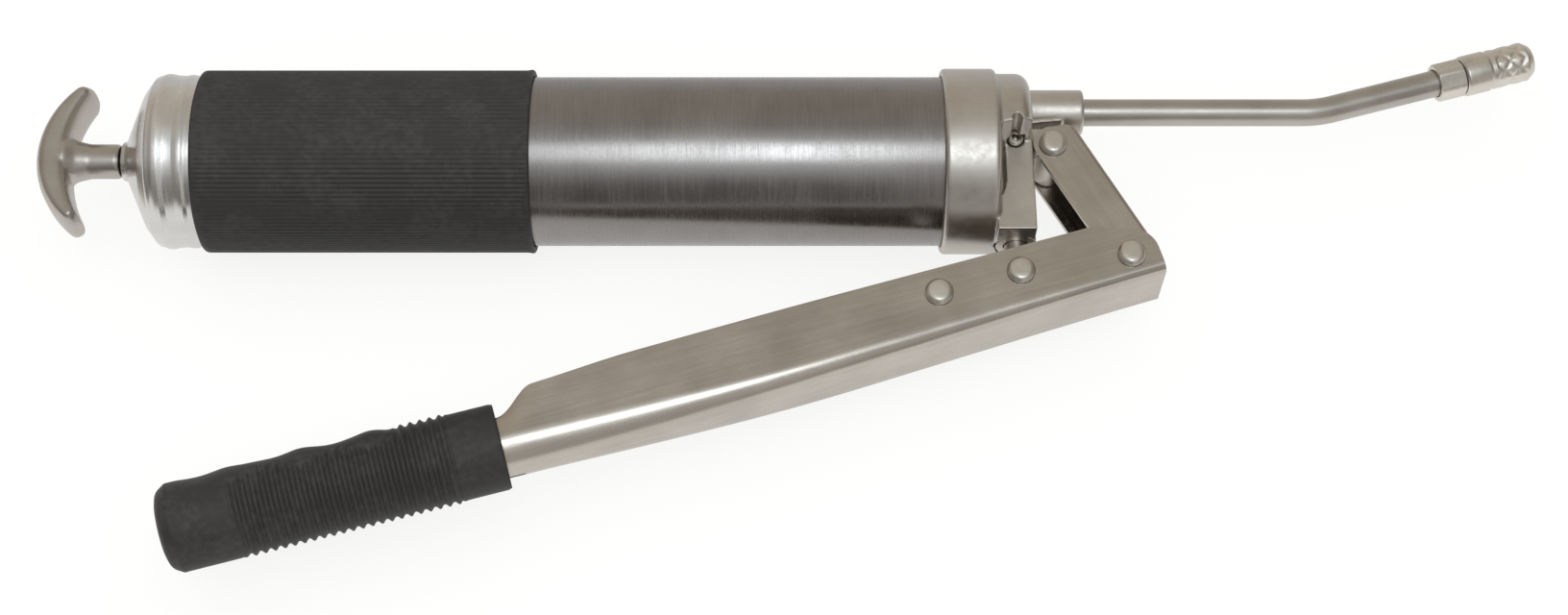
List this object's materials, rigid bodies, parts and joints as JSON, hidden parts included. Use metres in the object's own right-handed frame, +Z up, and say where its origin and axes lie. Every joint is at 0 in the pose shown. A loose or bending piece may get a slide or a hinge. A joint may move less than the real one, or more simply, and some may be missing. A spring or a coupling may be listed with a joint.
{
  "type": "lever grease gun",
  "caption": "Hand grease gun: ribbed steel barrel with spring follower and T handle, lever-and-toggle pump head, bent spout and gripping coupler.",
  "frame": {"origin": "the middle of the tool's footprint, at bench height, as it lies on its side; the barrel axis crosses the pump bore at (0.07371, 0.05019, 0.0313)", "axes": "+X along the barrel towards the spout, +Y in the lever's plane from the lever towards the outlet, +Z up out of the tool's side, as it lies on a bench"},
  "size_m": [0.509, 0.1907, 0.0626],
  "materials": {
    "nickel_plate": "bright nickel-plated pressed steel, fine drawn grain",
    "polished_cap": "polished spun steel",
    "barrel_steel": "dark steel brushed round the barrel",
    "cast_zinc": "satin plated die casting",
    "bright_steel": "ground and plated steel",
    "spring_steel": "oiled spring wire",
    "grip_rubber": "matt charcoal rubber with moulded ribs",
    "seal_rubber": "oiled nitrile rubber"
  },
  "bodies": {
    "head": {"barrel_tube": "barrel_steel", "barrel_sleeve": "grip_rubber", "rear_cap": "polished_cap", "rod_gland": "seal_rubber", "follower_spring": "spring_steel", "head_casting": "cast_zinc", "head_gasket": "seal_rubber", "plunger_packing": "seal_rubber", "packing_retainer": "bright_steel", "bleeder_bush": "bright_steel", "bleeder_spring": "spring_steel", "check_spring": "spring_steel", "link_rivet": "bright_steel", "extension_pipe": "nickel_plate", "coupler_body": "bright_steel", "coupler_sleeve": "bright_steel", "coupler_spring": "spring_steel"},
    "follower": {"follower_cup": "seal_rubber", "follower_rear_disc": "bright_steel", "follower_front_disc": "bright_steel"},
    "rod": {"follower_rod": "bright_steel", "pull_handle": "nickel_plate", "follower_nut": "bright_steel"},
    "plunger": {"pump_plunger": "bright_steel"},
    "link": {"toggle_link": "nickel_plate"},
    "lever": {"lever_arm": "nickel_plate", "lever_grip": "grip_rubber", "lever_rivet": "bright_steel", "plunger_rivet": "bright_steel", "spacer_rivet": "bright_steel", "spacer_tube": "bright_steel"},
    "outlet_check": {"check_ball": "bright_steel"},
    "bleeder_button": {"bleeder_ball": "bright_steel"},
    "coupler_piston": {"coupler_washer": "bright_steel", "coupler_seal": "seal_rubber"},
    "jaw_a": {"coupler_jaw_a": "bright_steel"},
    "jaw_b": {"coupler_jaw_b": "bright_steel"},
    "jaw_c": {"coupler_jaw_c": "bright_steel"}
  },
  "joints": [
    {"name": "lever_swing", "type": "hinge", "parent": "link", "child": "lever", "pos_m": [0.11021, 0.00919, 0.0313], "axis": [0, 0, 1], "range_deg": [-6.5, 36]},
    {"name": "link_swing", "type": "hinge", "parent": "head", "child": "link", "pos_m": [0.08661, 0.05139, 0.0313], "axis": [0, 0, 1], "range_deg": [-8.4, 1.6]},
    {"name": "plunger_slide", "type": "slide", "parent": "head", "child": "plunger", "axis": [0, 1, 0], "range_m": [-0.0198, 0.0036]},
    {"name": "handle_pull", "type": "slide", "parent": "head", "child": "follower", "axis": [-1, 0, 0], "range_m": [0, 0.175], "deforming": ["follower_spring"]},
    {"name": "handle_turn", "type": "hinge", "parent": "follower", "child": "rod", "pos_m": [-0.23929, 0.05019, 0.0313], "axis": [1, 0, 0], "continuous": true},
    {"name": "outlet_check_lift", "type": "slide", "parent": "head", "child": "outlet_check", "axis": [1, 0, 0], "range_m": [0, 0.0015], "deforming": ["check_spring"]},
    {"name": "bleeder_press", "type": "slide", "parent": "head", "child": "bleeder_button", "axis": [0, 0, -1], "range_m": [0, 0.0008], "deforming": ["bleeder_spring"]},
    {"name": "coupler_seal_float", "type": "slide", "parent": "head", "child": "coupler_piston", "axis": [-0.9636, -0.2672, 0], "range_m": [0, 0.001], "deforming": ["coupler_spring"]},
    {"name": "jaw_a_open", "type": "slide", "parent": "head", "child": "jaw_a", "axis": [-0.2672, 0.9636, 0], "range_m": [0, 0.0004]},
    {"name": "jaw_b_open", "type": "slide", "parent": "head", "child": "jaw_b", "axis": [0.1336, -0.4818, 0.866], "range_m": [0, 0.0004]},
    {"name": "jaw_c_open", "type": "slide", "parent": "head", "child": "jaw_c", "axis": [0.1336, -0.4818, -0.866], "range_m": [0, 0.0004]}
  ],
  "couplings": [
    {"joint": "link_swing", "follows": "lever_swing", "ratio": -0.2312},
    {"joint": "plunger_slide", "follows": "lever_swing", "m_per_rad": -0.03125},
    {"joint": "jaw_b_open", "follows": "jaw_a_open", "ratio": 1},
    {"joint": "jaw_c_open", "follows": "jaw_a_open", "ratio": 1}
  ]
}
